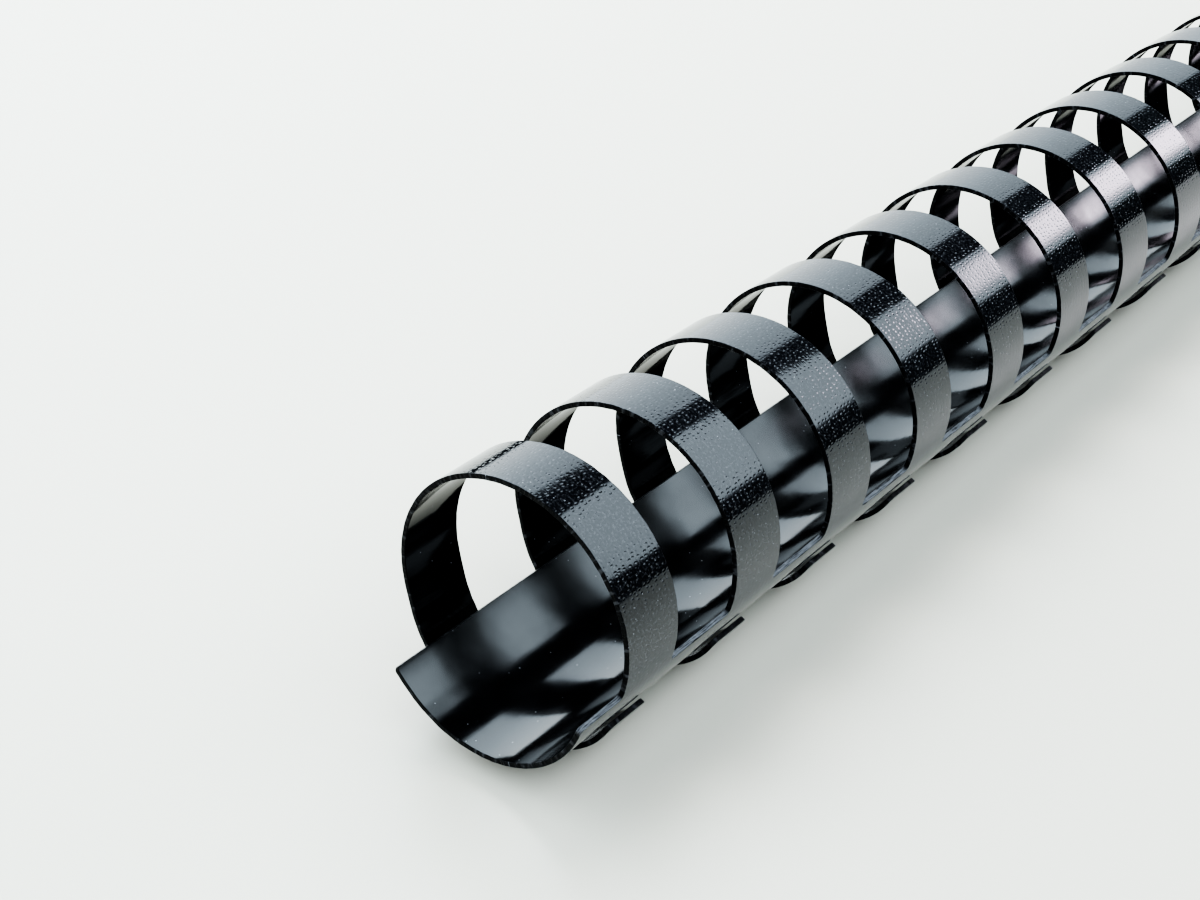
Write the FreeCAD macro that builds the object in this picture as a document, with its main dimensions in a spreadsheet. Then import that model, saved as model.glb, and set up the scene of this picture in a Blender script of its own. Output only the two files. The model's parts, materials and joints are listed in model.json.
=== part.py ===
"""Plastic binding comb for loose-leaf documents, US Letter length, 19 rings.

The comb is one strip of PVC sheet, die-cut and curled hot.  A spine runs along X.  From its right
edge 19 fingers curl up, over and down again, and their tips tuck in under the spine.

Frame: X along the comb, Y across it, +Z up.  The origin is at the middle of the comb, at the level
that the rings rest on.  Angles in the section are measured from +Y towards +Z, and each one is the
direction in which the sheet's outer face looks at that place.

Each finger is split where it bends: a stub that stays with the spine, then a crown, a side and a
tip, each turning about the outer face of the sheet at the line where it meets the one before.
"""

import FreeCAD, Part
import math
import os

import Sketcher
from FreeCAD import Vector

# alias, value (millimetres, degrees or a plain count), meaning
DIMENSIONS = [
    ("ring_count", 19, "rings along a US Letter comb"),
    ("pitch", 14.2875, "9/16 inch from one ring to the next"),
    ("ring_width", 6.35, "1/4 inch wide fingers"),
    ("end_margin", 5.0, "spine beyond the first and the last ring"),
    ("thickness", 0.45, "PVC sheet"),
    ("ring_radius", 11.5, "outer radius from the root over the top to the left side"),
    ("spine_radius", 10.8, "outer radius of the spine"),
    ("flat_radius", 38.0, "outer radius of the flatter stretch on the left side"),
    ("under_radius", 10.5, "outer radius from the flatter stretch to the foot"),
    ("foot_radius", 60.0, "outer radius of the nearly flat foot that each ring rests on"),
    ("tail_radius", 8.7, "outer radius from the foot to the end of the tip"),
    ("spine_edge", 324.5, "free edge of the spine"),
    ("spine_root", 201.0, "where the spine's curve becomes the finger's"),
    ("crown_start", 149.0, "bend line between stub and crown"),
    ("side_start", 54.0, "bend line between crown and side"),
    ("flat_start", -11.0, "start of the flatter stretch"),
    ("flat_end", -15.0, "end of the flatter stretch"),
    ("tip_start", -32.0, "bend line between side and tip"),
    ("foot_start", -88.85, "start of the foot"),
    ("foot_end", -91.15, "end of the foot"),
    ("tip_end", -152.0, "end of the tip"),
    ("slot_floor", 3.74, "depth of the slot ends below the ring axis"),
    ("slot_corner", 0.5, "radius in the corners of the slots"),
    ("taper_start", 7.0, "where the tip starts to narrow, left of the ring axis"),
    ("taper_end", 9.6, "where the taper is measured, right of the ring axis"),
    ("taper_inset", 0.7, "narrowing on each side of the tip"),
    ("tip_corner", 0.7, "radius on the corners of the tip"),
]


def dim(alias):
    """The text by which an expression reads one cell of the sheet."""
    return f"dimensions.{alias}"


def shifted(centre, old, new, angle):
    """Centre of the arc that carries on, with a new radius, from an arc that ends at an angle."""
    step = f"({dim(old)} - {dim(new)})"
    turn = f"({dim(angle)} * 1 deg)"
    return (f"{centre[0]} + {step} * cos({turn})", f"{centre[1]} + {step} * sin({turn})")


RING_CENTRE = ("0", "0")
SPINE_CENTRE = shifted(RING_CENTRE, "ring_radius", "spine_radius", "spine_root")
FLAT_CENTRE = shifted(RING_CENTRE, "ring_radius", "flat_radius", "flat_start")
UNDER_CENTRE = shifted(FLAT_CENTRE, "flat_radius", "under_radius", "flat_end")
FOOT_CENTRE = shifted(UNDER_CENTRE, "under_radius", "foot_radius", "foot_start")
TAIL_CENTRE = shifted(FOOT_CENTRE, "foot_radius", "tail_radius", "foot_end")

LEAST_CUT = 0.1  # mm3, the least that a real cut takes away

AXIS_HEIGHT = f"{dim('foot_radius')} - ({FOOT_CENTRE[1]})"
RINGS_LENGTH = f"({dim('ring_count')} - 1) * {dim('pitch')} + {dim('ring_width')}"
SPINE_LENGTH = f"{RINGS_LENGTH} + 2 * {dim('end_margin')}"
SLOT_WIDTH = f"{dim('pitch')} - {dim('ring_width')}"

doc = FreeCAD.newDocument("binding_comb")
sheet = doc.addObject("Spreadsheet::Sheet", "dimensions")


def fill_sheet():
    for row, (alias, value, meaning) in enumerate(DIMENSIONS, start=1):
        sheet.set(f"A{row}", alias)
        sheet.set(f"B{row}", str(value))
        sheet.set(f"C{row}", meaning)
        sheet.setAlias(f"B{row}", alias)
    doc.recompute()


def number(text):
    """Value of an expression as a plain number."""
    return float(sheet.evalExpression(text))


def plane(body, role):
    return next(item for item in body.Origin.OriginFeatures if item.Role == role)


def new_body(label, x_text):
    """A body whose own origin lies on the ring axis, at a place along the comb."""
    body = doc.addObject("PartDesign::Body", label)
    body.Label = label
    body.setExpression("Placement.Base.x", x_text)
    body.setExpression("Placement.Base.z", AXIS_HEIGHT)
    return body


def new_sketch(body, name, role):
    sketch = body.newObject("Sketcher::SketchObject", name)
    sketch.AttachmentSupport = (plane(body, role), [""])
    sketch.MapMode = "FlatFace"
    return sketch


def bind(sketch, constraint, name, text):
    """Adds a constraint, names it and ties its value to the sheet."""
    index = sketch.addConstraint(constraint)
    sketch.renameConstraint(index, name)
    sketch.setExpression(f"Constraints.{name}", text)


def place(sketch, point, name, x_text, y_text):
    """Ties one point of a sketch to a place given by two expressions."""
    x, y = number(x_text), number(y_text)
    bind(sketch, Sketcher.Constraint("DistanceX", -1, 1, *point, x), f"{name}_across", x_text)
    bind(sketch, Sketcher.Constraint("DistanceY", -1, 1, *point, y), f"{name}_up", y_text)


def add_sector(body, name, centre, radius, start, end, width_text):
    """One round stretch of the sheet's section, between two angles, drawn out along X."""
    sketch = new_sketch(body, f"{body.Name}_{name}_section", "YZ_Plane")
    middle = Vector(number(centre[0]), number(centre[1]), 0)
    first, last = math.radians(number(dim(start))), math.radians(number(dim(end)))
    outer_text = dim(radius)
    inner_text = f"{dim(radius)} - {dim('thickness')}"
    circles = [Part.Circle(middle, Vector(0, 0, 1), number(text)) for text in (outer_text, inner_text)]
    outer, inner = [sketch.addGeometry(Part.ArcOfCircle(circle, first, last)) for circle in circles]
    sketch.addConstraint(Sketcher.Constraint("Coincident", inner, 3, outer, 3))
    if centre == RING_CENTRE:
        sketch.addConstraint(Sketcher.Constraint("Coincident", outer, 3, -1, 1))
    else:
        place(sketch, (outer, 3), "centre", *centre)
    bind(sketch, Sketcher.Constraint("Radius", outer, number(outer_text)), "outer_radius", outer_text)
    bind(sketch, Sketcher.Constraint("Radius", inner, number(inner_text)), "inner_radius", inner_text)
    for point, angle, alias in ((1, first, start), (2, last, end)):
        ray = Vector(math.cos(angle), math.sin(angle), 0)
        line = sketch.addGeometry(
            Part.LineSegment(middle + ray * circles[1].Radius, middle + ray * circles[0].Radius)
        )
        sketch.addConstraint(Sketcher.Constraint("Coincident", line, 1, inner, point))
        sketch.addConstraint(Sketcher.Constraint("Coincident", line, 2, outer, point))
        sketch.addConstraint(Sketcher.Constraint("PointOnObject", outer, 3, line))
        bind(sketch, Sketcher.Constraint("Angle", line, angle), alias, f"{dim(alias)} * 1 deg")
    pad = body.newObject("PartDesign::Pad", f"{body.Name}_{name}")
    pad.Profile = sketch
    pad.setExpression("Length", width_text)
    body.Tip = pad
    doc.recompute()


def must_cut(body, feature, before):
    """Makes a feature the last one of its body and stops if it takes nothing away."""
    body.Tip = feature
    doc.recompute()
    if before - body.Shape.Volume < LEAST_CUT:
        raise RuntimeError(f"{feature.Name} cuts nothing from {body.Label}")


def cut_through(body, name, sketch):
    """Cuts a sketch's outline through the body, on both sides of the sketch's plane."""
    before = body.Shape.Volume
    pocket = body.newObject("PartDesign::Pocket", f"{body.Name}_{name}")
    pocket.Profile = sketch
    pocket.Type = "ThroughAll"
    pocket.Midplane = True
    must_cut(body, pocket, before)
    return pocket


def slot_outline(body):
    """The slot before the first ring: square at the top, with rounded corners at the spine."""
    sketch = new_sketch(body, "slot_outline", "XZ_Plane")
    left_text = f"-({SLOT_WIDTH}) + {dim('end_margin')}"
    right_text = dim("end_margin")
    floor_text = f"-{dim('slot_floor')}"
    top_text = dim("ring_radius")
    left, right, floor, top, corner = (
        number(text) for text in (left_text, right_text, floor_text, top_text, dim("slot_corner"))
    )
    quarter = math.pi / 2
    up = Vector(0, 0, 1)
    right_corner = Part.Circle(Vector(right - corner, floor + corner, 0), up, corner)
    left_corner = Part.Circle(Vector(left + corner, floor + corner, 0), up, corner)
    sketch.addGeometry(
        [
            Part.LineSegment(Vector(left + corner, floor, 0), Vector(right - corner, floor, 0)),
            Part.ArcOfCircle(right_corner, -quarter, 0),
            Part.LineSegment(Vector(right, floor + corner, 0), Vector(right, top, 0)),
            Part.LineSegment(Vector(right, top, 0), Vector(left, top, 0)),
            Part.LineSegment(Vector(left, top, 0), Vector(left, floor + corner, 0)),
            Part.ArcOfCircle(left_corner, 2 * quarter, 3 * quarter),
        ]
    )
    sketch.addConstraint(
        [
            Sketcher.Constraint("Tangent", 0, 2, 1, 1),
            Sketcher.Constraint("Tangent", 1, 2, 2, 1),
            Sketcher.Constraint("Coincident", 2, 2, 3, 1),
            Sketcher.Constraint("Coincident", 3, 2, 4, 1),
            Sketcher.Constraint("Tangent", 4, 2, 5, 1),
            Sketcher.Constraint("Tangent", 5, 2, 0, 1),
            Sketcher.Constraint("Horizontal", 0),
            Sketcher.Constraint("Vertical", 2),
            Sketcher.Constraint("Horizontal", 3),
            Sketcher.Constraint("Vertical", 4),
            Sketcher.Constraint("Equal", 1, 5),
        ]
    )
    bind(sketch, Sketcher.Constraint("Radius", 1, corner), "corner", dim("slot_corner"))
    place(sketch, (2, 2), "top_right", right_text, top_text)
    place(sketch, (5, 2), "floor_left", f"{left_text} + {dim('slot_corner')}", floor_text)
    return sketch


def build_spine():
    """The spine and the stubs of all the fingers: one curved strip with a row of slots."""
    body = new_body("spine", f"-({SPINE_LENGTH}) / 2")
    add_sector(body, "back", SPINE_CENTRE, "spine_radius", "spine_root", "spine_edge", SPINE_LENGTH)
    add_sector(body, "stubs", RING_CENTRE, "ring_radius", "crown_start", "spine_root", SPINE_LENGTH)
    slot = cut_through(body, "slot", slot_outline(body))
    before = body.Shape.Volume
    slots = body.newObject("PartDesign::LinearPattern", "slots")
    slots.Originals = [slot]
    slots.Direction = (plane(body, "X_Axis"), [""])
    slots.setExpression("Length", f"{dim('ring_count')} * {dim('pitch')}")
    slots.setExpression("Occurrences", f"{dim('ring_count')} + 1")
    must_cut(body, slots, before)


def taper_outline(body):
    """Two long triangles that narrow the tip from both sides, seen from above."""
    sketch = new_sketch(body, f"{body.Name}_taper_outline", "XY_Plane")
    width = dim("ring_width")
    start, end, inset = dim("taper_start"), f"-{dim('taper_end')}", dim("taper_inset")
    sides = (("near", "0", inset), ("far", width, f"{width} - {inset}"))
    for side, edge_text, inner_text in sides:
        corners = [(edge_text, start), (edge_text, end), (inner_text, end)]
        points = [Vector(number(x), number(y), 0) for x, y in corners]
        lines = [
            sketch.addGeometry(Part.LineSegment(points[i], points[(i + 1) % 3])) for i in range(3)
        ]
        for i, line in enumerate(lines):
            after = lines[(i + 1) % 3]
            sketch.addConstraint(Sketcher.Constraint("Coincident", line, 2, after, 1))
            place(sketch, (line, 1), f"{side}_{i}", *corners[i])
    return sketch


def round_tip(body):
    """Rounds the two corners at the end of the tip."""
    base = body.Tip
    end = number(TAIL_CENTRE[0]) + number(dim("tail_radius")) * math.cos(
        math.radians(number(dim("tip_end")))
    )
    thickness = number(dim("thickness"))
    edges = [
        f"Edge{i}"
        for i, edge in enumerate(base.Shape.Edges, start=1)
        if abs(edge.Length - thickness) < thickness / 10
        and edge.BoundBox.YMax < end + 2 * thickness
    ]
    if len(edges) != 2:
        raise RuntimeError(f"{body.Label} has {len(edges)} corners at its end")
    fillet = body.newObject("PartDesign::Fillet", f"{body.Name}_corners")
    fillet.Base = (base, edges)
    fillet.setExpression("Radius", dim("tip_corner"))
    body.Tip = fillet
    doc.recompute()


def build_ring(index):
    """The three loose stretches of one finger, from its stub to its tip."""
    x_text = f"-({RINGS_LENGTH}) / 2 + {index} * {dim('pitch')}"
    width = dim("ring_width")
    name = f"ring_{index + 1:02d}"

    crown = new_body(f"{name}_crown", x_text)
    add_sector(crown, "arc", RING_CENTRE, "ring_radius", "side_start", "crown_start", width)

    side = new_body(f"{name}_side", x_text)
    add_sector(side, "arc", RING_CENTRE, "ring_radius", "flat_start", "side_start", width)
    add_sector(side, "flat", FLAT_CENTRE, "flat_radius", "flat_end", "flat_start", width)
    add_sector(side, "under", UNDER_CENTRE, "under_radius", "tip_start", "flat_end", width)

    tip = new_body(f"{name}_tip", x_text)
    add_sector(tip, "under", UNDER_CENTRE, "under_radius", "foot_start", "tip_start", width)
    add_sector(tip, "foot", FOOT_CENTRE, "foot_radius", "foot_end", "foot_start", width)
    add_sector(tip, "tail", TAIL_CENTRE, "tail_radius", "tip_end", "foot_end", width)
    cut_through(tip, "taper", taper_outline(tip))
    round_tip(tip)


def check_and_export():
    doc.recompute()
    for item in doc.Objects:
        if "Invalid" in item.State or "Error" in item.State:
            raise RuntimeError(f"{item.Label} failed: {item.State}")
    bodies = [item for item in doc.Objects if item.TypeId == "PartDesign::Body"]
    for body in bodies:
        if body.Shape.isNull() or not body.Shape.isValid() or len(body.Shape.Solids) != 1:
            raise RuntimeError(f"{body.Label} is not one valid solid")
    os.makedirs("parts", exist_ok=True)
    for body in bodies:
        body.Shape.exportStep(os.path.join("parts", f"{body.Label}.step"))
    volume = sum(body.Shape.Volume for body in bodies)
    print(f"{len(bodies)} parts, {volume:.1f} mm3, ring axis at {number(AXIS_HEIGHT):.4f} mm")


fill_sheet()
build_spine()
for ring in range(int(number(dim("ring_count")))):
    build_ring(ring)
check_and_export()
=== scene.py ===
import json
import math
import random

import bpy
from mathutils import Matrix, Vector, noise


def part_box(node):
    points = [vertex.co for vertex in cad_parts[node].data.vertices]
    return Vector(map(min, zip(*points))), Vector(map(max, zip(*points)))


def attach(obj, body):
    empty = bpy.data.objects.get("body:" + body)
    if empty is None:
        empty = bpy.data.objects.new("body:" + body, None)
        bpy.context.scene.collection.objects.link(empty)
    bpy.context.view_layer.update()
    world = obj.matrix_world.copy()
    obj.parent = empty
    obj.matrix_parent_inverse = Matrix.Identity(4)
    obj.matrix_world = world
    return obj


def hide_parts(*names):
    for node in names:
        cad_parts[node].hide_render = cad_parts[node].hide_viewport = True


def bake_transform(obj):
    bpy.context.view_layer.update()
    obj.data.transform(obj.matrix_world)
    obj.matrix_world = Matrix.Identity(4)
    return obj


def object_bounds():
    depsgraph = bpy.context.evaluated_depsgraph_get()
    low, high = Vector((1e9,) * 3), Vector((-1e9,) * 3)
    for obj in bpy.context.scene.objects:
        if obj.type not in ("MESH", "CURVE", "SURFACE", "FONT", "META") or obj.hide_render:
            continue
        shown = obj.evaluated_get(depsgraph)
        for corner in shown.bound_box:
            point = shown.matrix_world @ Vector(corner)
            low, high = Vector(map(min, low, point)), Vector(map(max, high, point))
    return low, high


# A black plastic binding comb on a pale table.
#
# The comb is one strip of PVC sheet, and every piece here is cut from that strip.  A place on the
# flat strip is (x, s): x runs along the comb and s, the distance along the sheet's outer face, runs
# from the spine's free edge round to a finger's tip.  Angles in the section are measured from +Y
# towards +Z and give the direction in which the outer face looks.

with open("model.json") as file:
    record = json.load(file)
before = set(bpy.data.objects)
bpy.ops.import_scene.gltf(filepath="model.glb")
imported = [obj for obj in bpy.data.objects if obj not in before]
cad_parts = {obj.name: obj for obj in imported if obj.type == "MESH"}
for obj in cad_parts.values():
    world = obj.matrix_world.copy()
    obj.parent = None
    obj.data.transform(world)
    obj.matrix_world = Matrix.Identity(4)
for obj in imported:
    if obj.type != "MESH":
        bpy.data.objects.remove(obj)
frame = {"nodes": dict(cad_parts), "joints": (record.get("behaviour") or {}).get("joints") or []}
cad_low, cad_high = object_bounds()

MM = 0.001  # everything in Blender is in metres

# ---------------------------------------------------------------- driving dimensions

THICKNESS = 0.45 * MM
EDGE_ROUNDING = 0.07 * MM
RAGGEDNESS = 0.04 * MM  # how far the die-cut outline strays
RAGGED_LENGTH = 0.7 * MM
SPINE_CORNER = 0.35 * MM
SLOT_CORNER = 0.5 * MM
SLOT_DEPTH = 3.74 * MM  # slot ends, below the ring axis
STUB = 1.0 * MM  # what stays with the spine of each finger, above the slot ends
RING_RADIUS = 11.5 * MM
TAPER_START = 7.0 * MM  # across the comb, left of the ring axis
TAPER_END = -9.6 * MM
TAPER_INSET = 0.7 * MM
TIP_CORNER = 0.7 * MM

# outer radius of each round stretch, and the angle at which it starts, in degrees
STRETCHES = [
    (10.8 * MM, 324.5),  # spine, from its free edge
    (RING_RADIUS, 201.0),  # root, top and left side of the ring
    (38.0 * MM, -11.0),  # flatter stretch
    (10.5 * MM, -15.0),  # underneath
    (60.0 * MM, -88.85),  # foot
    (8.7 * MM, -91.15),  # tail, up to the tip
]
TIP_ANGLE = -152.0

ROW_STEP = 1.5  # degrees between two rows of a mesh
RIM_STEPS = 3  # faces in each rounded edge
CORNER_STEPS = 4  # faces in each rounded corner of the cut-out
STRIP_UNITS = 1 / MM  # the materials read places on the strip in millimetres
LARGEST_LEAN = 0.15 * MM  # how far a finger's tip may stray along the comb
LEAN_SEED = 7

RINGS = sorted(name[: -len("_crown")] for name in frame["nodes"] if name.endswith("_crown"))
JOINTS = {joint["name"]: Vector(joint["pos_m"]) for joint in frame["joints"]}
AXIS_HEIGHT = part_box(f"{RINGS[0]}_crown")[1].z - RING_RADIUS


# ---------------------------------------------------------------- the section

def looking(angle):
    """Unit vector across the comb, in the direction that an angle in degrees gives."""
    return Vector((0, math.cos(math.radians(angle)), math.sin(math.radians(angle))))


class Section:
    """The outer face of the sheet as a chain of tangent arcs, by distance s from the free edge."""

    def __init__(self):
        ends = [angle for _, angle in STRETCHES[1:]] + [TIP_ANGLE]
        centres = {1: Vector((0, 0, AXIS_HEIGHT))}
        for i in range(2, len(STRETCHES)):
            (before, _), (radius, start) = STRETCHES[i - 1], STRETCHES[i]
            centres[i] = centres[i - 1] + (before - radius) * looking(start)
        (radius, _), (after, end) = STRETCHES[0], STRETCHES[1]
        centres[0] = centres[1] + (after - radius) * looking(end)
        self.arcs, self.length = [], 0.0
        for i, ((radius, start), end) in enumerate(zip(STRETCHES, ends)):
            self.arcs.append((self.length, centres[i], radius, start, end))
            self.length += radius * math.radians(start - end)

    def at(self, s):
        """Point on the outer face, the way it looks, and the way in which s grows."""
        begin, centre, radius, start, _ = next(
            (arc for arc in reversed(self.arcs) if s >= arc[0]), self.arcs[0]
        )
        angle = start - math.degrees((s - begin) / radius)
        return centre + radius * looking(angle), looking(angle), looking(angle - 90)

    def where(self, stretch, angle):
        """Distance s at which one stretch looks in a direction."""
        begin, _, radius, start, _ = self.arcs[stretch]
        return begin + radius * math.radians(start - angle)

    def nearest(self, point):
        """Distance s of the place on the outer face that is nearest to a point."""
        found = []
        for begin, centre, radius, start, end in self.arcs:
            spoke = Vector((0, point.y, point.z)) - centre
            turn = (start - math.degrees(math.atan2(spoke.z, spoke.y))) % 360
            if turn <= start - end:
                found.append((abs(spoke.length - radius), begin + radius * math.radians(turn)))
        return min(found)[1]

    def rows(self, start, end):
        """Distances from start to end, close enough to look round."""
        stops = [start]
        for begin, _, radius, first, last in self.arcs:
            low, high = max(start, begin), min(end, begin + radius * math.radians(first - last))
            if high > low:
                count = math.ceil(math.degrees((high - low) / radius) / ROW_STEP)
                stops += [low + (high - low) * i / count for i in range(1, count + 1)]
        return stops


section = Section()
SLOT_FLOOR = section.where(1, 180 + math.degrees(math.asin(SLOT_DEPTH / RING_RADIUS)))
SEAM = SLOT_FLOOR + STUB
BENDS = ("open", "side_flex", "tip_flex")
PIVOTS = [section.nearest(JOINTS[f"{RINGS[0]}_{bend}"]) for bend in BENDS]
TOP_SEAM = (PIVOTS[0] + PIVOTS[1]) / 2
SIDE_SEAM = (PIVOTS[1] + PIVOTS[2]) / 2
TUCK_END = 2 * PIVOTS[2] - SIDE_SEAM


# ---------------------------------------------------------------- meshes cut from the strip

def rim_profile():
    """Rounded edge of the sheet from the outer to the inner face: (sideways, outwards, depth)."""
    profile = []
    for step in range(2 * RIM_STEPS + 2):
        inner = step > RIM_STEPS
        turn = math.pi / 2 * (1 - (step - inner) / RIM_STEPS)
        sideways, outwards = math.cos(turn), math.sin(turn)
        depth = EDGE_ROUNDING * (1 - outwards)
        if inner:
            depth = THICKNESS - EDGE_ROUNDING * (1 + outwards)
        profile.append((sideways, outwards, depth))
    return profile


RIM = rim_profile()
OUTER, INNER, EDGE = range(3)  # material slots of every piece


class SheetMesh:
    """A mesh that is built on the flat strip and curled as its points are added."""

    def __init__(self, lean=0.0):
        self.lean = lean
        self.points, self.normals, self.strip = [], [], []
        self.faces, self.kinds = [], []
        self.flat = {}  # one normal for all corners of a face, by the face's number

    def point(self, x, s, depth, normal):
        """Adds a point, with its normal given as (along the comb, along the strip, outwards)."""
        place, out, onward = section.at(s)
        lean = self.lean * max(0.0, s - SEAM) ** 2 / (section.length - SEAM) ** 2
        self.points.append(place - depth * out + Vector((x + lean, 0, 0)))
        self.normals.append(Vector((normal[0], 0, 0)) + normal[1] * onward + normal[2] * out)
        self.strip.append((x * STRIP_UNITS, s * STRIP_UNITS, depth * STRIP_UNITS))
        return len(self.points) - 1

    def inside(self, x, s):
        """A place within the cut-out: one point on each face of the sheet."""
        return [self.point(x, s, 0, (0, 0, 1)), self.point(x, s, THICKNESS, (0, 0, -1))]

    def rim(self, x, s, across, along):
        """A place on the outline, with the outline's own normal: points round the sheet's edge."""
        points = []
        ragged = RAGGEDNESS * noise.noise(Vector((x, s, 0)) / RAGGED_LENGTH)
        for sideways, outwards, depth in RIM:
            inset = EDGE_ROUNDING * (sideways - 1) + ragged
            normal = (across * sideways, along * sideways, outwards)
            points.append(self.point(x + across * inset, s + along * inset, depth, normal))
        return points

    def face(self, corners, kind):
        self.faces.append(corners)
        self.kinds.append(kind)

    def fill(self, lower, upper):
        """Both faces of the sheet between two rows of places, from left to right."""
        for a, b, c, d in zip(lower, lower[1:], upper[1:], upper):
            self.face((a[0], b[0], c[0], d[0]), OUTER)
            self.face((d[-1], c[-1], b[-1], a[-1]), INNER)

    def skirt(self, outline):
        """The cut edge along an outline that runs anticlockwise, seen from outside."""
        for a, b in zip(outline, outline[1:]):
            for i in range(len(RIM) - 1):
                self.face((a[i], a[i + 1], b[i + 1], b[i]), EDGE)

    def cap(self, row, s, end):
        """Closes the sheet across a seam."""
        left, right = row[0], row[-1]
        inner, outer = [place[-1] for place in row[1:-1]], [place[0] for place in row[1:-1]]
        corners = left + inner + right[::-1] + outer[::-1]
        onward = section.at(s)[2]
        self.flat[len(self.faces)] = onward if end else -onward
        self.face(tuple(corners[::-1] if end else corners), EDGE)

    def build(self, name, materials):
        mesh = bpy.data.meshes.new(name)
        mesh.from_pydata(self.points, [], self.faces)
        for material in materials:
            mesh.materials.append(material)
        mesh.polygons.foreach_set("material_index", self.kinds)
        mesh.polygons.foreach_set("use_smooth", [True] * len(self.faces))
        strip = mesh.attributes.new("strip", "FLOAT_VECTOR", "POINT")
        strip.data.foreach_set("vector", [value for place in self.strip for value in place])
        normals = [
            self.flat.get(i, self.normals[corner])
            for i, corners in enumerate(self.faces)
            for corner in corners
        ]
        mesh.normals_split_custom_set(normals)
        piece = bpy.data.objects.new(name, mesh)
        bpy.context.scene.collection.objects.link(piece)
        return piece


# ---------------------------------------------------------------- the spine

ACROSS_STUB = (-0.5, 0.0, 0.5)  # inner columns of a stub, as parts of its half width
STUB_COLUMNS = len(ACROSS_STUB) + 2


def quarter(steps):
    """Angles of a quarter turn, in radians."""
    return [math.pi / 2 * i / steps for i in range(steps + 1)]


def stub(mesh, left, right, floor_row):
    """The foot of one finger, with a rounded corner on each side; gives the outline of each side."""
    middle, half = (left + right) / 2, (right - left) / 2
    left_side, right_side, lower = [floor_row[0]], [floor_row[-1]], floor_row
    rises = [
        (SLOT_CORNER * (1 - math.sin(turn)), SLOT_CORNER * (1 - math.cos(turn)), turn)
        for turn in quarter(CORNER_STEPS)[1:]
    ]
    rises.append((0.0, STUB, math.pi / 2))
    for flare, rise, turn in rises:
        s, reach = SLOT_FLOOR + rise, half + flare
        row = [mesh.rim(middle - reach, s, -math.sin(turn), math.cos(turn))]
        row += [mesh.inside(middle + part * reach, s) for part in ACROSS_STUB]
        row += [mesh.rim(middle + reach, s, math.sin(turn), math.cos(turn))]
        mesh.fill(lower, row)
        left_side.append(row[0])
        right_side.append(row[-1])
        lower = row
    mesh.cap(lower, SEAM, end=True)
    return left_side, right_side


def spine_rows(mesh, low, high, fingers):
    """Rows of places from the free edge to the slot ends; the first and last are on the outline."""
    columns = [
        (left + right) / 2 + part * ((right - left) / 2 + SLOT_CORNER)
        for left, right in fingers
        for part in (-1.0, *ACROSS_STUB, 1.0)
    ]
    corner = SPINE_CORNER
    turns = quarter(CORNER_STEPS)
    levels = [(corner * (1 - math.cos(turn)), turn - math.pi / 2) for turn in turns]
    levels += [(s, 0.0) for s in section.rows(corner, SLOT_FLOOR - corner)[1:-1]]
    levels += [(SLOT_FLOOR - corner * (1 - math.sin(turn)), turn) for turn in turns]
    rows = []
    for s, turn in levels:
        inset = corner * (1 - math.cos(turn))
        ends = [
            mesh.rim(low + inset, s, -math.cos(turn), math.sin(turn)),
            mesh.rim(high - inset, s, math.cos(turn), math.sin(turn)),
        ]
        if not rows:
            between = [mesh.rim(x, s, 0, -1) for x in columns]
        elif s == levels[-1][0]:
            sides = (0, STUB_COLUMNS - 1)
            between = [
                mesh.rim(x, s, 0, 1) if i % STUB_COLUMNS in sides else mesh.inside(x, s)
                for i, x in enumerate(columns)
            ]
        else:
            between = [mesh.inside(x, s) for x in columns]
        rows.append([ends[0], *between, ends[1]])
        if len(rows) > 1:
            mesh.fill(rows[-2], rows[-1])
    return rows


def make_spine(materials):
    """The spine with its slots and the stubs of all fingers, as one piece."""
    low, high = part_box("spine")
    fingers = [(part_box(f"{ring}_crown")[0].x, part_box(f"{ring}_crown")[1].x) for ring in RINGS]
    mesh = SheetMesh()
    rows = spine_rows(mesh, low.x, high.x, fingers)
    sides = []
    for i, (left, right) in enumerate(fingers):
        first = 1 + STUB_COLUMNS * i
        sides.append(stub(mesh, left, right, rows[-1][first : first + STUB_COLUMNS]))
    # anticlockwise from the top of the first stub, round the spine, to the top of the last one
    left_end, right_end = [row[0] for row in rows[::-1]], [row[-1] for row in rows]
    mesh.skirt(sides[0][0][::-1] + left_end + rows[0][1:] + right_end[1:] + sides[-1][1])
    for (_, right_side), (left_side, _) in zip(sides, sides[1:]):
        mesh.skirt(left_side[::-1] + right_side)
    spine = mesh.build("comb_spine", materials)
    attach(spine, "spine")
    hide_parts("spine")


# ---------------------------------------------------------------- the fingers

def half_width(s, full):
    """Half the width of a finger, which narrows where it runs under the spine."""
    across = section.at(s)[0].y
    if s < PIVOTS[2] or across > TAPER_START:
        return full
    return full - TAPER_INSET * (TAPER_START - across) / (TAPER_START - TAPER_END)


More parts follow.
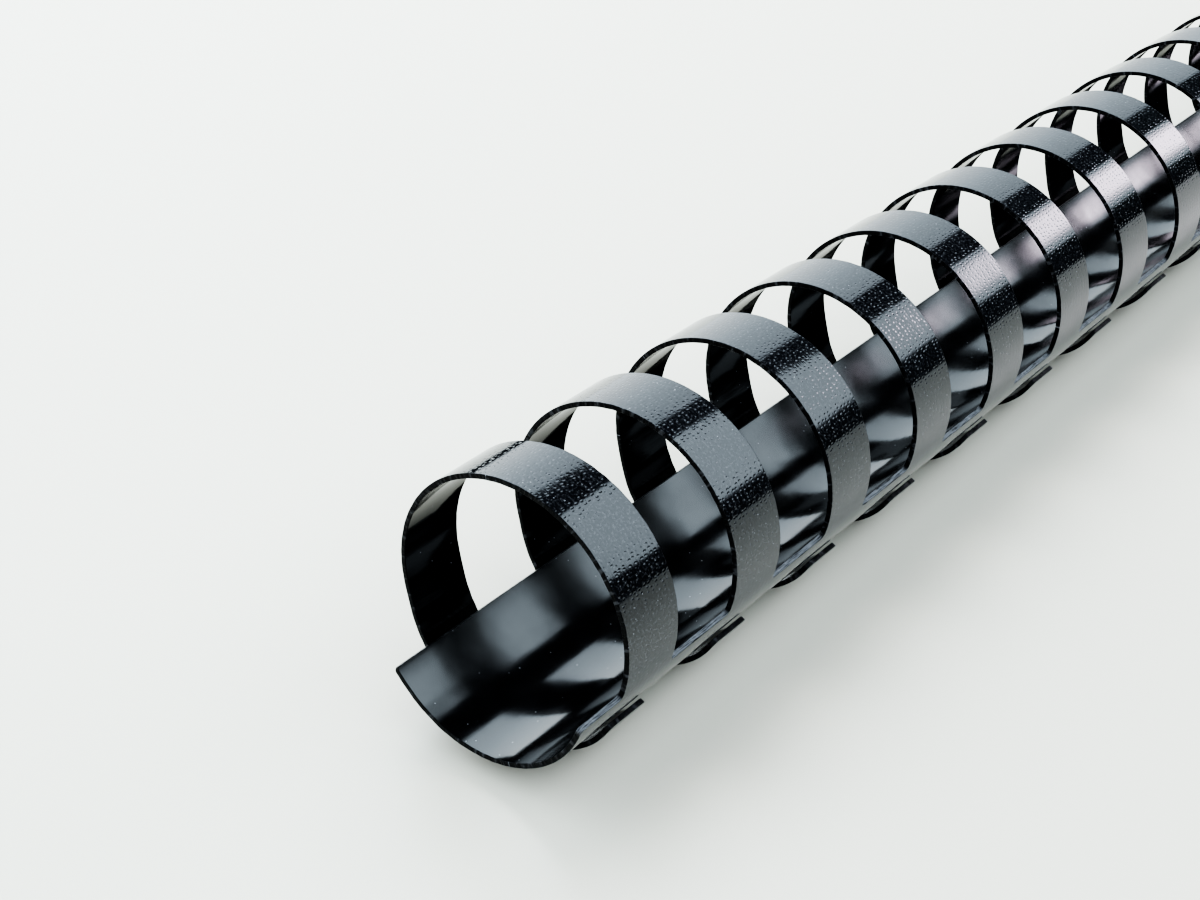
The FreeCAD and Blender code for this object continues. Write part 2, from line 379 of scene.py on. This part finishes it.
def finger_piece(name, ring, start, end, lean, materials):
    """One stretch of a finger, closed at its seams, with round corners if it ends the finger."""
    left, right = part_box(f"{ring}_crown")[0].x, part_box(f"{ring}_crown")[1].x
    middle, full = (left + right) / 2, (right - left) / 2
    mesh = SheetMesh(lean)
    is_tip = end == section.length
    straight_end = end - TIP_CORNER if is_tip else end
    levels = [(s, half_width(s, full), 0.0) for s in section.rows(start, straight_end)]
    if is_tip:
        inner = half_width(straight_end, full) - TIP_CORNER
        levels += [
            (straight_end + TIP_CORNER * math.sin(turn), inner + TIP_CORNER * math.cos(turn), turn)
            for turn in quarter(CORNER_STEPS)[1:]
        ]
    rows = [
        [
            mesh.rim(middle - half, s, -math.cos(turn), math.sin(turn)),
            mesh.rim(middle + half, s, math.cos(turn), math.sin(turn)),
        ]
        for s, half, turn in levels
    ]
    for lower, upper in zip(rows, rows[1:]):
        mesh.fill(lower, upper)
    right_side, left_side = [row[1] for row in rows], [row[0] for row in rows[::-1]]
    mesh.cap(rows[0], start, end=False)
    if is_tip:
        mesh.skirt(right_side + left_side)
    else:
        mesh.skirt(right_side)
        mesh.skirt(left_side)
        mesh.cap(rows[-1], end, end=True)
    return mesh.build(name, materials)


def make_finger(ring, lean, materials):
    """The three stretches of a finger, each spanning one joint."""
    number = ring[-2:]
    stretches = [
        ("rise", SEAM, TOP_SEAM, TOP_SEAM, "spine", f"{ring}_crown"),
        ("over", TOP_SEAM, SIDE_SEAM, SIDE_SEAM, f"{ring}_crown", f"{ring}_side"),
        ("tuck", SIDE_SEAM, section.length, TUCK_END, f"{ring}_side", f"{ring}_tip"),
    ]
    for part, start, end, bend_end, body, next_body in stretches:
        piece = finger_piece(f"finger_{number}_{part}", ring, start, end, lean, materials)
        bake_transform(piece)
        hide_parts(next_body)


# ---------------------------------------------------------------- materials

PVC_IOR = 1.54
BLACK = (0.0012, 0.0012, 0.0014, 1)
BLUE_BLACK = (0.0030, 0.0034, 0.0043, 1)
WORN_BLACK = (0.0064, 0.0071, 0.0090, 1)
# Pale grey of dust and wear specks, and of the painted glints on the outer face.
DUST_AND_GLINT_GREY = (0.150, 0.156, 0.168, 1)


class Nodes:
    """A short way to write a node tree: each call adds one node and gives its output."""

    def __init__(self, tree):
        self.tree = tree
        tree.nodes.clear()

    def add(self, kind, output=0, settings=None, **inputs):
        """Inputs go by name, with _ for a space, or by number, such as i0; values or links."""
        node = self.tree.nodes.new(kind)
        for key, value in (settings or {}).items():
            setattr(node, key, value)
        for key, value in inputs.items():
            number = key[1:]
            socket = node.inputs[int(number) if number.isdigit() else key.replace("_", " ")]
            if isinstance(value, bpy.types.NodeSocket):
                self.tree.links.new(value, socket)
            else:
                socket.default_value = value
        return node if output is None else node.outputs[output]

    def math(self, operation, *values):
        return self.add(
            "ShaderNodeMath",
            settings={"operation": operation},
            **{f"i{i}": value for i, value in enumerate(values)},
        )

    def vector_math(self, operation, **inputs):
        return self.add("ShaderNodeVectorMath", settings={"operation": operation}, **inputs)

    def stretch(self, place, x, s, depth=1.0):
        """Places on the strip, scaled along the comb, along the strip and through the sheet."""
        return self.vector_math("MULTIPLY", i0=place, i1=(x, s, depth))

    def ramp(self, value, ends, results):
        """A straight ramp from the first result to the second, between two values."""
        return self.add(
            "ShaderNodeMapRange",
            Value=value,
            From_Min=ends[0],
            From_Max=ends[1],
            To_Min=results[0],
            To_Max=results[1],
        )

    def smooth(self, value, low, high):
        """0 below low, 1 above high and a soft step between; low may be the larger."""
        step = {"interpolation_type": "SMOOTHSTEP"}
        return self.add("ShaderNodeMapRange", 0, step, Value=value, From_Min=low, From_Max=high)

    def between(self, value, rise, fall):
        """1 between two soft steps of a value, each given as (start, end)."""
        risen, not_fallen = self.smooth(value, *rise), self.smooth(value, fall[1], fall[0])
        return self.math("MULTIPLY", risen, not_fallen)

    def noise(self, place, scale, detail=2.0, space="2D"):
        kind = {"noise_dimensions": space}
        return self.add("ShaderNodeTexNoise", 0, kind, Vector=place, Scale=scale, Detail=detail)

    def cells(self, place, scale, randomness, output):
        flat = {"voronoi_dimensions": "2D"}
        return self.add(
            "ShaderNodeTexVoronoi",
            output,
            flat,
            Vector=place,
            Scale=scale,
            Randomness=randomness,
        )

    def mix(self, factor, first, second):
        """The first colour where the factor is 0, the second where it is 1."""
        colour = {"data_type": "RGBA"}
        return self.add("ShaderNodeMix", 2, colour, i0=factor, i6=first, i7=second)

    def shifted(self, value, *shifts):
        """A value with shifts added, each given as (mask, amount)."""
        for mask, amount in shifts:
            value = self.math("MULTIPLY_ADD", mask, amount, value)
        return value

    def weighted(self, *parts):
        """The sum of values times their weights, each given as (value, weight)."""
        return self.shifted(0.0, *parts)

    def product(self, *values):
        result = values[0]
        for value in values[1:]:
            result = self.math("MULTIPLY", result, value)
        return result


# heights are in mm, the scales of patterns in repeats per mm, and pairs are the ends of a range

DUST_CELLS = 0.55
DUST_RADIUS = (0.035, 0.02)  # in cells
DUSTY_SCALE = 0.21
DUSTY = (0.56, 0.60)  # only where a coarse pattern is above this
CLOUD_SCALE = 0.35
CLOUDS = (0.3, 0.7)


def strip_place(nodes):
    named = {"attribute_type": "GEOMETRY", "attribute_name": "strip"}
    return nodes.add("ShaderNodeAttribute", "Vector", named)


def strip_distance(nodes, place):
    """Distance from the spine's free edge, in millimetres."""
    return nodes.add("ShaderNodeSeparateXYZ", "Y", Vector=place)


def dust(nodes, place):
    """Sparse specks, each in one cell of a coarse pattern."""
    distance = nodes.cells(place, DUST_CELLS, 1.0, "Distance")
    chosen = nodes.smooth(nodes.noise(place, DUSTY_SCALE), *DUSTY)
    return nodes.product(nodes.smooth(distance, *DUST_RADIUS), chosen)


def finish_pvc(nodes, place, height, rough, blacks, shine, specks=0.0, worn=0.0):
    """PVC with a relief in mm, cloudy between two roughnesses and two blacks, with pale specks of
    dust and wear, and on the outer face painted glints.
    """
    patches = nodes.noise(place, CLOUD_SCALE, detail=4.0)
    roughness = nodes.math("ADD", nodes.ramp(patches, CLOUDS, rough), worn)
    # pale specks: dust and wear, and on the outer face painted glints
    pale = nodes.math("MAXIMUM", dust(nodes, place), specks)
    surface = nodes.add(
        "ShaderNodeBsdfPrincipled",
        Base_Color=nodes.mix(pale, nodes.mix(patches, *blacks), DUST_AND_GLINT_GREY),
        Roughness=roughness,
        IOR=PVC_IOR,
        Specular_IOR_Level=shine,
        Normal=nodes.add("ShaderNodeBump", Strength=1.0, Distance=MM, Height=height),
    )
    nodes.add("ShaderNodeOutputMaterial", None, i0=surface)


def new_material(name):
    material = bpy.data.materials.new(name)
    material.use_nodes = True
    return material, Nodes(material.node_tree)


STREAK_HEIGHT = 0.0022
WAVE_HEIGHT = 0.02

GRAIN_PITCH = 0.40  # mm between neighbouring pits
GRAIN_STRETCH = (0.65, 1.1)  # pits are longer along the comb
GRAIN_SCATTER = 0.6  # 0 is a regular grid
PIT_RADIUS = 0.34  # in grain pitches
PIT_HEIGHTS = (-0.003, -0.0115)  # of the shallowest and of the deepest pits
OUTER_STREAKS = (5.0, 0.9)  # scales along the comb and along the strip
OUTER_WAVES = 0.16
FINE_SCALE = 5.0
FINE_HEIGHT = 0.0013
# Painted glints, partly dust: pale dots in the deeper pits, where the pits would catch the light.
PIT_DUST_AND_GLINTS = 0.15  # how much of the pale colour the pits take: painted glints, partly dust
PIT_GLINT_RADIUS = (0.26, 0.08)  # in grain pitches
GLINTING_PITS = (0.35, 0.75)  # the deeper pits get the painted glints
GRAIN_POWDER = 0.13
GRAIN_SCALE = 4.0
GRAIN = (0.45, 0.75)
# Painted glints, partly dust: a pale mottling where the outer face looks towards the table, from the
# spine to the side of the ring.
ROOT_DUST_AND_GLINTS = 0.32  # on the mottled stretch towards the spine
ROOT_REACH = (32.0, 24.5)  # mm along the strip, from none of that to all of it
ROOT_SCALE = 5.5
ROOT_MOTTLING = (0.25, 0.80)
OUTER_ROUGHNESS = (0.04, 0.10)
OUTER_SHINE = 0.46


def outer_face():
    """The sheet's embossed side: tiny pits over faint roller streaks, with pale grain and dust, and
    painted glints in the deeper pits and on the stretch towards the spine.
    """
    material, nodes = new_material("pvc_embossed")
    place = strip_place(nodes)
    grid = nodes.stretch(place, *GRAIN_STRETCH)
    distance = nodes.cells(grid, 1 / GRAIN_PITCH, GRAIN_SCATTER, "Distance")
    colours = nodes.cells(grid, 1 / GRAIN_PITCH, GRAIN_SCATTER, "Color")
    chance = nodes.add("ShaderNodeSeparateColor", "Red", Color=colours)
    depth = nodes.ramp(chance, (0, 1), PIT_HEIGHTS)
    pits = nodes.product(nodes.smooth(distance, PIT_RADIUS, 0.0), depth)
    height = nodes.weighted(
        (pits, 1.0),
        (nodes.noise(nodes.stretch(place, *OUTER_STREAKS), 1.0), STREAK_HEIGHT),
        (nodes.noise(place, OUTER_WAVES, detail=1.0), WAVE_HEIGHT),
        (nodes.noise(place, FINE_SCALE), FINE_HEIGHT),
    )
    # painted glints, partly dust: pale dots in the deeper pits
    pit_glint_dots = nodes.product(nodes.smooth(distance, *PIT_GLINT_RADIUS), nodes.smooth(chance, *GLINTING_PITS))
    grain = nodes.smooth(nodes.noise(place, GRAIN_SCALE, detail=3.0), *GRAIN)
    mottled = nodes.smooth(nodes.noise(place, ROOT_SCALE, detail=5.0), *ROOT_MOTTLING)
    # painted glints, partly dust, on the stretch that looks towards the table
    root_glint_mottling = nodes.product(mottled, nodes.smooth(strip_distance(nodes, place), *ROOT_REACH))
    specks = nodes.weighted((pit_glint_dots, PIT_DUST_AND_GLINTS), (grain, GRAIN_POWDER), (root_glint_mottling, ROOT_DUST_AND_GLINTS))
    finish_pvc(nodes, place, height, OUTER_ROUGHNESS, (BLUE_BLACK, WORN_BLACK), OUTER_SHINE, specks)
    return material


INNER_STREAKS = (0.35, 2.2)
INNER_WAVES = 0.22
HANDLED_REACH = 17.0  # mm from the spine's free edge
HANDLED_ROUGHNESS = 0.09
INNER_ROUGHNESS = (0.06, 0.10)
INNER_SHINE = 0.55


def inner_face():
    """The sheet's plain side: smooth, a little cloudy and streaked, duller at the free edge."""
    material, nodes = new_material("pvc_plain")
    place = strip_place(nodes)
    height = nodes.weighted(
        (nodes.noise(nodes.stretch(place, *INNER_STREAKS), 1.0), STREAK_HEIGHT),
        (nodes.noise(place, INNER_WAVES, detail=1.0), WAVE_HEIGHT),
    )
    handled = nodes.smooth(strip_distance(nodes, place), HANDLED_REACH, 0.0)
    worn = nodes.product(handled, HANDLED_ROUGHNESS)
    finish_pvc(nodes, place, height, INNER_ROUGHNESS, (BLACK, BLUE_BLACK), INNER_SHINE, worn=worn)
    return material


CUT_SCALE = 2.2
CUT_DETAIL = 3.0
NICK_STRETCH = (1.0, 1.0, 0.4)
NICK_HEIGHT = 0.16
NICKS = (0.54, 0.68)
NICK_POWDER = 0.25
SCRATCH_STRETCH = (0.3, 1.0, 7.0)
SCRATCHES = (0.32, 0.56)
SCUFF_REACH = (0.7, 0.3)  # mm before and past the slot ends
SCUFF_POWDER = 0.7
CUT_ROUGHNESS = (0.25, 0.40)
CUT_SHINE = 0.08


def cut_edge():
    """The die-cut edge: rougher, a little greyer, nicked, and scuffed pale at the slot ends."""
    material, nodes = new_material("pvc_cut")
    place = strip_place(nodes)
    nicks = nodes.noise(nodes.stretch(place, *NICK_STRETCH), CUT_SCALE, CUT_DETAIL, "3D")
    scratches = nodes.noise(nodes.stretch(place, *SCRATCH_STRETCH), CUT_SCALE, CUT_DETAIL, "3D")
    slot_end = SLOT_FLOOR * STRIP_UNITS
    rise = (slot_end - SCUFF_REACH[0], slot_end)
    fall = (slot_end, slot_end + SCUFF_REACH[1])
    at_slot = nodes.between(strip_distance(nodes, place), rise, fall)
    scuffed = nodes.product(at_slot, nodes.smooth(scratches, *SCRATCHES))
    specks = nodes.weighted((nodes.smooth(nicks, *NICKS), NICK_POWDER), (scuffed, SCUFF_POWDER))
    height = nodes.product(nicks, NICK_HEIGHT)
    finish_pvc(nodes, place, height, CUT_ROUGHNESS, (BLACK, BLUE_BLACK), CUT_SHINE, specks)
    return material


TABLE_COLOURS = (0.475, 0.455, 0.390, 1), (0.485, 0.464, 0.398, 1)
TABLE_PATCHES = 3.0  # per metre
TABLE_ROUGHNESS = 0.35
TABLE_IOR = 1.5


def table_top():
    """A smooth, pale, faintly uneven table."""
    material, nodes = new_material("pale_table")
    place = nodes.add("ShaderNodeTexCoord", "Object")
    patches = nodes.noise(place, TABLE_PATCHES, space="3D")
    surface = nodes.add(
        "ShaderNodeBsdfPrincipled",
        Base_Color=nodes.mix(patches, *TABLE_COLOURS),
        Roughness=TABLE_ROUGHNESS,
        IOR=TABLE_IOR,
    )
    nodes.add("ShaderNodeOutputMaterial", None, i0=surface)
    return material


# ---------------------------------------------------------------- the studio

BACKDROP = (1.5, 1.55, 1.5, 1)
FLOOR_REACH = 12.0  # metres from the comb to the floor's edge


def make_floor():
    mesh = bpy.data.meshes.new("floor")
    signs = (-1, -1), (1, -1), (1, 1), (-1, 1)
    corners = [(x * FLOOR_REACH, y * FLOOR_REACH, 0) for x, y in signs]
    mesh.from_pydata(corners, [], [(0, 1, 2, 3)])
    mesh.materials.append(table_top())
    floor = bpy.data.objects.new("floor", mesh)
    bpy.context.scene.collection.objects.link(floor)
    floor.location.z = cad_low.z


WARM_WHITE = (1.0, 0.94, 0.84)
COOL_WHITE = (0.70, 0.82, 0.90)
LILAC = (1.0, 0.84, 0.98)
END_GLOW = (0.22, 0.23, 0.24, 1)

# A direction has an angle across the comb, in degrees from +Y towards +Z, and a reach, which is how
# far it points along the comb, from 0 to 1.  A pair gives the start and the end of a soft step.
MIDDLE = (0.70, 0.58)  # steps of the reach, into the middle of the studio
CLOSE = (0.70, 0.66)  # the same, but sooner full
DISTANT = (0.71, 0.80)  # towards the two ends
AT_END = (0.92, 0.985)  # to where no softbox stands
FADING = (0.72, 0.88)  # over this reach both softboxes fade
FADED = 0.6  # to this part of their light

FAR_BOX_LOWER = (-6, -2)  # edges of the softbox on the far side, by angle
FAR_BOX_UPPER = (79, 75)
HORIZON_SHIFT = -13.0  # of the lower edge where CLOSE, which leaves a dark gap above the table
FAR_UPPER_SHIFTS = (9.0, -4.0)  # of the upper edge where CLOSE and where DISTANT
FAR_BOX_BRIGHT = (6, 46)  # brighter upwards
FAR_BOX_WARM = (50, 10)  # warmer downwards
FAR_BOX_STRENGTHS = (2.1, 1.3, 0.7)  # all over, bright part, warm part
FAR_BOX_MIDDLE = 0.42  # this much more light in the middle

NEAR_BOX_TOP = (93.5, 97)  # edges of the softbox on the near side, by angle
NEAR_BOX_FOOT = (164, 159)
NEAR_TOP_SHIFTS = (-4.5, -14.0)  # where MIDDLE and where DISTANT
NEAR_FOOT_SHIFTS = (9.0, 7.0)
NEAR_BOX_STRENGTH = 4.8
WEAKER = (136, 154)  # in the middle its light is weaker towards its foot
WEAKER_PART = 0.4
CORNER_REACH = (0.60, 0.575)  # and weaker near the middle of its top
CORNER_ANGLE = (118, 112)
CORNER_PART = 0.55

LILAC_ANGLES = ((110, 123), (136, 151))  # a small lilac lamp towards each end
LILAC_REACHES = ((0.80, 0.84), (0.90, 0.94))
LILAC_STRENGTH = 9.5


def edge(nodes, angle, step, *shifts):
    """A long edge of a softbox: a soft step of the angle, moved by shifts."""
    return nodes.smooth(nodes.shifted(angle, *shifts), *step)


def glow_of(nodes, colour, strength, *masks):
    """Light of one colour where all masks are 1."""
    return nodes.vector_math("SCALE", i0=colour, Scale=nodes.product(strength, *masks))


def softboxes(nodes, angle, reach):
    """Long softboxes that run parallel to the comb, with dark gaps between them."""
    middle, close, distant = (nodes.smooth(reach, *step) for step in (MIDDLE, CLOSE, DISTANT))
    fading = nodes.ramp(reach, FADING, (1.0, FADED))
    far_side = nodes.product(
        edge(nodes, angle, FAR_BOX_LOWER, (close, HORIZON_SHIFT)),
        edge(nodes, angle, FAR_BOX_UPPER, *zip((close, distant), FAR_UPPER_SHIFTS)),
        nodes.shifted(1.0, (middle, FAR_BOX_MIDDLE)),
        fading,
    )
    weaker = nodes.product(middle, nodes.smooth(angle, *WEAKER))
    corner = nodes.product(nodes.smooth(reach, *CORNER_REACH), nodes.smooth(angle, *CORNER_ANGLE))
    near_side = nodes.product(
        edge(nodes, angle, NEAR_BOX_TOP, *zip((middle, distant), NEAR_TOP_SHIFTS)),
        edge(nodes, angle, NEAR_BOX_FOOT, *zip((middle, distant), NEAR_FOOT_SHIFTS)),
        nodes.shifted(1.0, (weaker, -WEAKER_PART)),
        nodes.shifted(1.0, (corner, -CORNER_PART)),
        fading,
    )
    even, bright, warm = FAR_BOX_STRENGTHS
    lilac = nodes.product(nodes.between(angle, *LILAC_ANGLES), nodes.between(reach, *LILAC_REACHES))
    return [
        glow_of(nodes, COOL_WHITE, even, far_side),
        glow_of(nodes, COOL_WHITE, bright, far_side, nodes.smooth(angle, *FAR_BOX_BRIGHT)),
        glow_of(nodes, WARM_WHITE, warm, far_side, nodes.smooth(angle, *FAR_BOX_WARM)),
        glow_of(nodes, COOL_WHITE, NEAR_BOX_STRENGTH, near_side),
        glow_of(nodes, LILAC, LILAC_STRENGTH, lilac),
    ]


def make_studio():
    """The light from every direction, and a plain backdrop for the camera."""
    world = bpy.data.worlds.new("studio")
    bpy.context.scene.world = world
    world.use_nodes = True
    nodes = Nodes(world.node_tree)
    direction = nodes.add("ShaderNodeTexCoord", "Generated")
    way = nodes.add("ShaderNodeSeparateXYZ", None, Vector=direction)
    angle = nodes.math("DEGREES", nodes.math("ARCTAN2", way.outputs["Z"], way.outputs["Y"]))
    reach = nodes.math("ABSOLUTE", way.outputs["X"])
    glow, *others = softboxes(nodes, angle, reach)
    for other in others:
        glow = nodes.vector_math("ADD", i0=glow, i1=other)
    glow = nodes.mix(nodes.smooth(reach, *AT_END), glow, END_GLOW)
    seen = nodes.add("ShaderNodeLightPath", "Is Camera Ray")
    colour = nodes.mix(seen, glow, BACKDROP)
    background = nodes.add("ShaderNodeBackground", Color=colour, Strength=1.0)
    nodes.add("ShaderNodeOutputWorld", None, i0=background)


FAR_LAMP = Vector((0.30, 0.30, 0.60))  # above the far side of the table
FAR_LAMP_SIZE = 0.6
FAR_LAMP_POWER = 6.5


def make_far_lamp():
    """A soft lamp that brightens the far side of the table and leaves no reflection in the comb."""
    data = bpy.data.lights.new("far_lamp", "AREA")
    data.shape = "DISK"
    data.size = FAR_LAMP_SIZE
    data.energy = FAR_LAMP_POWER
    lamp = bpy.data.objects.new("far_lamp", data)
    lamp.location = FAR_LAMP
    lamp.visible_glossy = False
    lamp.visible_camera = False
    bpy.context.scene.collection.objects.link(lamp)


CAMERA_FROM_END = Vector((-0.0899, -0.0820, 0.0871))  # from the rings' axis at the comb's near end
CAMERA_YAW = 37.65  # degrees, from +X towards +Y
CAMERA_PITCH = -30.19
LENS = 58.74  # millimetres, as Blender has it
NEAREST_SEEN = 0.01  # metres


def make_camera():
    data = bpy.data.cameras.new("camera")
    data.lens = LENS
    data.clip_start = NEAREST_SEEN
    camera = bpy.data.objects.new("camera", data)
    camera.location = Vector((cad_low.x, 0, AXIS_HEIGHT)) + CAMERA_FROM_END
    camera.rotation_euler = (math.radians(90 + CAMERA_PITCH), 0, math.radians(CAMERA_YAW - 90))
    bpy.context.scene.collection.objects.link(camera)
    bpy.context.scene.camera = camera
    bpy.context.scene.view_settings.view_transform = "AgX"
    bpy.context.scene.view_settings.look = "AgX - Very High Contrast"


# ---------------------------------------------------------------- the whole scene

pvc = (outer_face(), inner_face(), cut_edge())
make_spine(pvc)
random.seed(LEAN_SEED)
for ring in RINGS:
    make_finger(ring, random.uniform(-LARGEST_LEAN, LARGEST_LEAN), pvc)
make_floor()
make_studio()
make_far_lamp()
make_camera()
